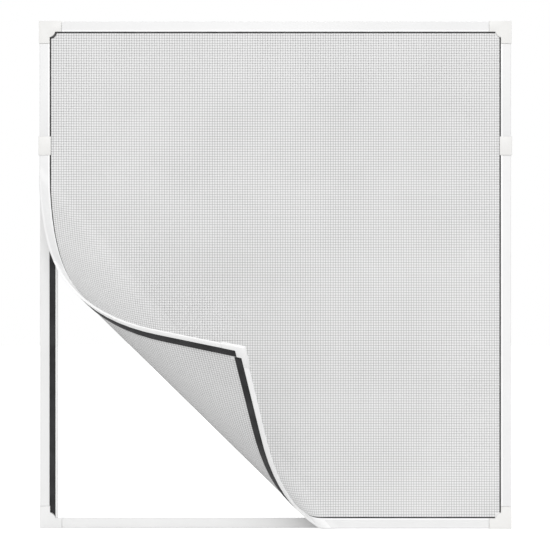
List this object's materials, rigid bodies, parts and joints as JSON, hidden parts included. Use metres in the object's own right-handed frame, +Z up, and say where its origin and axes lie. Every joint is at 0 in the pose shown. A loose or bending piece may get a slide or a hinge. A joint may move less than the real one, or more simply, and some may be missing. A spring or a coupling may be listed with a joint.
{
  "type": "magnetic insect screen",
  "caption": "Magnetic window insect screen with white edging and pale mesh, one lower corner peeled up off its glued base frame so that the black magnet strips show.",
  "frame": {"origin": "middle of the bottom rail's adhesive back face", "axes": "+Z up, +X to the right as seen from the front, front towards -Y, glued back at Y = 0"},
  "size_m": [1.004, 0.4217, 1.0766],
  "materials": {
    "base_plastic": "satin",
    "magnet_rubber": "matte",
    "adhesive_foam": "matte",
    "mesh_cloth": "matte",
    "edging_plastic": "satin",
    "bead_rubber": "matte",
    "cap_plastic": "satin"
  },
  "bodies": {
    "root": {"adhesive_tape_bottom": "adhesive_foam", "adhesive_tape_left": "adhesive_foam", "adhesive_tape_right": "adhesive_foam", "adhesive_tape_top": "adhesive_foam", "base_corner_bottom_left": "base_plastic", "base_corner_bottom_right": "base_plastic", "base_corner_top_left": "base_plastic", "base_corner_top_right": "base_plastic", "base_magnet_bottom": "magnet_rubber", "base_magnet_left": "magnet_rubber", "base_magnet_right": "magnet_rubber", "base_magnet_top": "magnet_rubber", "base_rail_bottom": "base_plastic", "base_rail_left": "base_plastic", "base_rail_right": "base_plastic", "base_rail_top": "base_plastic", "bead_bottom": "bead_rubber", "bead_left": "bead_rubber", "bead_right": "bead_rubber", "bead_top": "bead_rubber", "connector_left": "cap_plastic", "connector_right": "cap_plastic", "edging_bottom": "edging_plastic", "edging_left_lower": "edging_plastic", "edging_left_upper": "edging_plastic", "edging_right_lower": "edging_plastic", "edging_right_upper": "edging_plastic", "edging_top": "edging_plastic", "screen_corner_bottom_left": "cap_plastic", "screen_corner_bottom_right": "cap_plastic", "screen_corner_top_left": "cap_plastic", "screen_corner_top_right": "cap_plastic", "screen_magnet_bottom": "magnet_rubber", "screen_magnet_left": "magnet_rubber", "screen_magnet_right": "magnet_rubber", "screen_magnet_top": "magnet_rubber", "screen_mesh": "mesh_cloth"}
  },
  "joints": []
}
